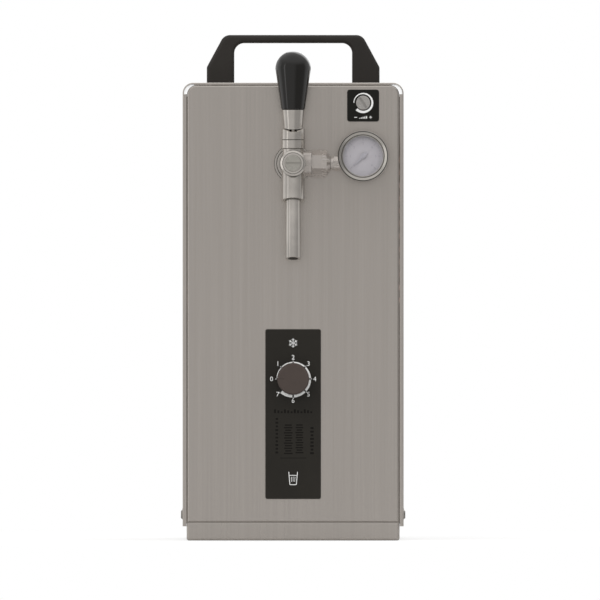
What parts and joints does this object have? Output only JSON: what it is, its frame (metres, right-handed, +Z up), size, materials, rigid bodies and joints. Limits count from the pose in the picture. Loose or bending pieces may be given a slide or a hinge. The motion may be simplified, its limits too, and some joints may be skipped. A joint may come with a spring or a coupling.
{
  "type": "beer dispenser",
  "caption": "Countertop beer dispenser: upright steel case with a carry handle, one lever tap with a pressure gauge, a thermostat dial and a regulator screw.",
  "frame": {"origin": "centre of the base pan's underside, on the surface that the dispenser stands on", "axes": "+Z up; the front with the tap faces -Y; +X is to the right seen from the front"},
  "size_m": [0.1568, 0.3248, 0.3542],
  "materials": {
    "case_steel": "satin brushed stainless sheet",
    "handle_black": "fine textured moulding",
    "fastener_steel": "plated steel",
    "tap_chrome": "bright plated",
    "knob_gloss": "polished",
    "brass": "turned",
    "seal_rubber": "smooth",
    "gauge_steel": "polished",
    "lens_glass": "clear",
    "dial_face": "printed",
    "pointer_black": "satin",
    "plate_black": "black anodised with white marks",
    "control_plastic": "fine moulded",
    "fitting_plastic": "acetal",
    "collet_plastic": "acetal",
    "inlet_plastic": "moulded",
    "rocker_plastic": "moulded",
    "fan_plastic": "moulded",
    "grille_steel": "plated wire",
    "compressor_paint": "black enamel",
    "condenser_metal": "bare fins",
    "block_aluminium": "machined",
    "foam": "expanded insulation foam",
    "stand_steel": "galvanised",
    "hose_plastic": "food-grade hose",
    "copper": "drawn copper tube",
    "pump_metal": "painted casting"
  },
  "bodies": {
    "case": {"base_pan": "case_steel", "outer_cover": "case_steel", "front_panel": "case_steel", "rear_panel": "case_steel", "cover_fasteners": "fastener_steel", "carry_handle": "handle_black", "handle_screws": "fastener_steel", "wall_flange": "tap_chrome", "tap_shank": "tap_chrome", "gauge_tee": "tap_chrome", "union_nut": "tap_chrome", "gauge_stub": "tap_chrome", "tap_body": "tap_chrome", "ball_seat": "seal_rubber", "tap_bonnet": "tap_chrome", "tap_spout": "tap_chrome", "gauge_case": "gauge_steel", "gauge_bezel": "gauge_steel", "gauge_lens": "lens_glass", "gauge_dial": "dial_face", "gauge_movement": "brass", "control_plate": "plate_black", "thermostat_body": "inlet_plastic", "regulator_plate": "plate_black", "regulator_body": "brass", "rear_fittings": "fitting_plastic", "panel_nuts": "fastener_steel", "mains_inlet": "inlet_plastic", "switch_bodies": "inlet_plastic", "fan_frame": "fan_plastic", "fan_grille": "grille_steel", "fan_screws": "fastener_steel", "compressor": "compressor_paint", "compressor_grommets": "seal_rubber", "compressor_nuts": "fastener_steel", "terminal_cover": "inlet_plastic", "condenser": "condenser_metal", "cooling_block": "block_aluminium", "foam_shells": "foam", "block_stand": "stand_steel", "beer_lines": "hose_plastic", "refrigerant_lines": "copper", "air_pump": "pump_metal", "pump_mounts": "seal_rubber", "air_hoses": "hose_plastic"},
    "lever": {"tap_lever": "tap_chrome", "lever_knob": "knob_gloss"},
    "piston": {"tap_piston": "brass", "piston_seals": "seal_rubber"},
    "flow_screw": {"flow_screw": "tap_chrome"},
    "pointer": {"gauge_pointer": "pointer_black"},
    "thermostat_dial": {"thermostat_knob": "control_plastic", "thermostat_shaft": "fastener_steel"},
    "regulator_screw": {"regulator_screw": "fastener_steel"},
    "fan": {"fan_rotor": "fan_plastic"},
    "power_rocker": {"power_rocker": "rocker_plastic"},
    "pump_rocker": {"pump_rocker": "rocker_plastic"},
    "inlet_collet": {"inlet_collet": "collet_plastic"},
    "outlet_collet": {"outlet_collet": "collet_plastic"}
  },
  "joints": [
    {"name": "lever_tilt", "type": "hinge", "parent": "case", "child": "lever", "pos_m": [0, -0.163, 0.2743], "axis": [1, 0, 0], "range_deg": [-10, 24]},
    {"name": "piston_slide", "type": "slide", "parent": "case", "child": "piston", "axis": [0, 1, 0], "range_m": [-0.002, 0.0045]},
    {"name": "flow_screw_turn", "type": "hinge", "parent": "case", "child": "flow_screw", "pos_m": [0, -0.176, 0.2633], "axis": [0, 1, 0], "range_deg": [-90, 90]},
    {"name": "pointer_turn", "type": "hinge", "parent": "case", "child": "pointer", "pos_m": [0.0487, -0.164, 0.2683], "axis": [0, 1, 0], "range_deg": [0, 270], "stiffness_Nm_per_rad": 0.0004},
    {"name": "thermostat_turn", "type": "hinge", "parent": "case", "child": "thermostat_dial", "pos_m": [0, -0.134, 0.1129], "axis": [0, 1, 0], "range_deg": [0, 315]},
    {"name": "regulator_turn", "type": "hinge", "parent": "case", "child": "regulator_screw", "pos_m": [0.0489, -0.126, 0.3058], "axis": [0, 1, 0], "range_deg": [-57, 258]},
    {"name": "fan_spin", "type": "hinge", "parent": "case", "child": "fan", "pos_m": [0, 0.118, 0.232], "axis": [0, 1, 0], "continuous": true},
    {"name": "power_rocker_tilt", "type": "hinge", "parent": "case", "child": "power_rocker", "pos_m": [0.044, 0.123, 0.092], "axis": [1, 0, 0], "range_deg": [0, 18]},
    {"name": "pump_rocker_tilt", "type": "hinge", "parent": "case", "child": "pump_rocker", "pos_m": [0.017, 0.123, 0.092], "axis": [1, 0, 0], "range_deg": [0, 18]},
    {"name": "inlet_collet_press", "type": "slide", "parent": "case", "child": "inlet_collet", "axis": [0, -1, 0], "range_m": [0, 0.0015]},
    {"name": "outlet_collet_press", "type": "slide", "parent": "case", "child": "outlet_collet", "axis": [0, -1, 0], "range_m": [0, 0.0015]}
  ],
  "couplings": [
    {"joint": "piston_slide", "follows": "lever_tilt", "m_per_rad": 0.0087391}
  ]
}
